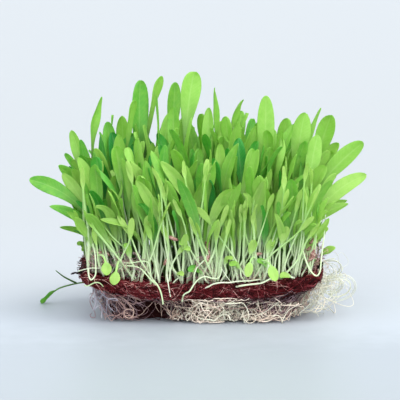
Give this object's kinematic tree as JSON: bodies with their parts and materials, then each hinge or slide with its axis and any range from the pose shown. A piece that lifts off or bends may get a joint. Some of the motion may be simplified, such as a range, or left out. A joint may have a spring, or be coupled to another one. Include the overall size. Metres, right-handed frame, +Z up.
{
  "type": "microgreens mat",
  "caption": "Block of microgreens on a curled coir growing mat with a felt of roots under it, lifted out of its tray and resting on a surface.",
  "frame": {"origin": "on the surface that the roots rest on, under the middle of the growing mat", "axes": "+Z up, -Y towards the front, +X along the mat's length to the right"},
  "size_m": [0.1513, 0.1078, 0.1105],
  "materials": {
    "coir": "moist red-brown coir fibre, needled into a mat",
    "roots": "cream root hairs, matted and moist",
    "loose_roots": "pale fine roots, loose and translucent",
    "leaves": "thin fresh leaf blades, waxy and translucent, pale at the foot of the stalk"
  },
  "bodies": {
    "root": {"growing_mat": "coir", "root_felt": "roots", "root_tuft": "loose_roots", "fallen_seedling": "leaves", "seedlings_01": "leaves", "seedlings_02": "leaves", "seedlings_03": "leaves", "seedlings_04": "leaves", "seedlings_05": "leaves", "seedlings_06": "leaves", "seedlings_07": "leaves", "seedlings_08": "leaves", "seedlings_09": "leaves", "seedlings_10": "leaves", "seedlings_11": "leaves", "seedlings_12": "leaves", "seedlings_13": "leaves", "seedlings_14": "leaves", "seedlings_15": "leaves", "seedlings_16": "leaves", "seedlings_17": "leaves", "seedlings_18": "leaves", "seedlings_19": "leaves", "seedlings_20": "leaves", "seedlings_21": "leaves", "seedlings_22": "leaves", "seedlings_23": "leaves", "seedlings_24": "leaves", "seedlings_25": "leaves", "seedlings_26": "leaves", "seedlings_27": "leaves", "seedlings_28": "leaves", "seedlings_29": "leaves", "seedlings_30": "leaves", "seedlings_31": "leaves", "seedlings_32": "leaves", "seedlings_33": "leaves", "seedlings_34": "leaves", "seedlings_35": "leaves", "seedlings_36": "leaves", "seedlings_37": "leaves", "seedlings_38": "leaves", "seedlings_39": "leaves", "seedlings_40": "leaves", "seedlings_41": "leaves", "seedlings_42": "leaves", "seedlings_43": "leaves", "seedlings_44": "leaves", "seedlings_45": "leaves", "seedlings_46": "leaves", "seedlings_47": "leaves", "seedlings_48": "leaves"}
  },
  "joints": []
}
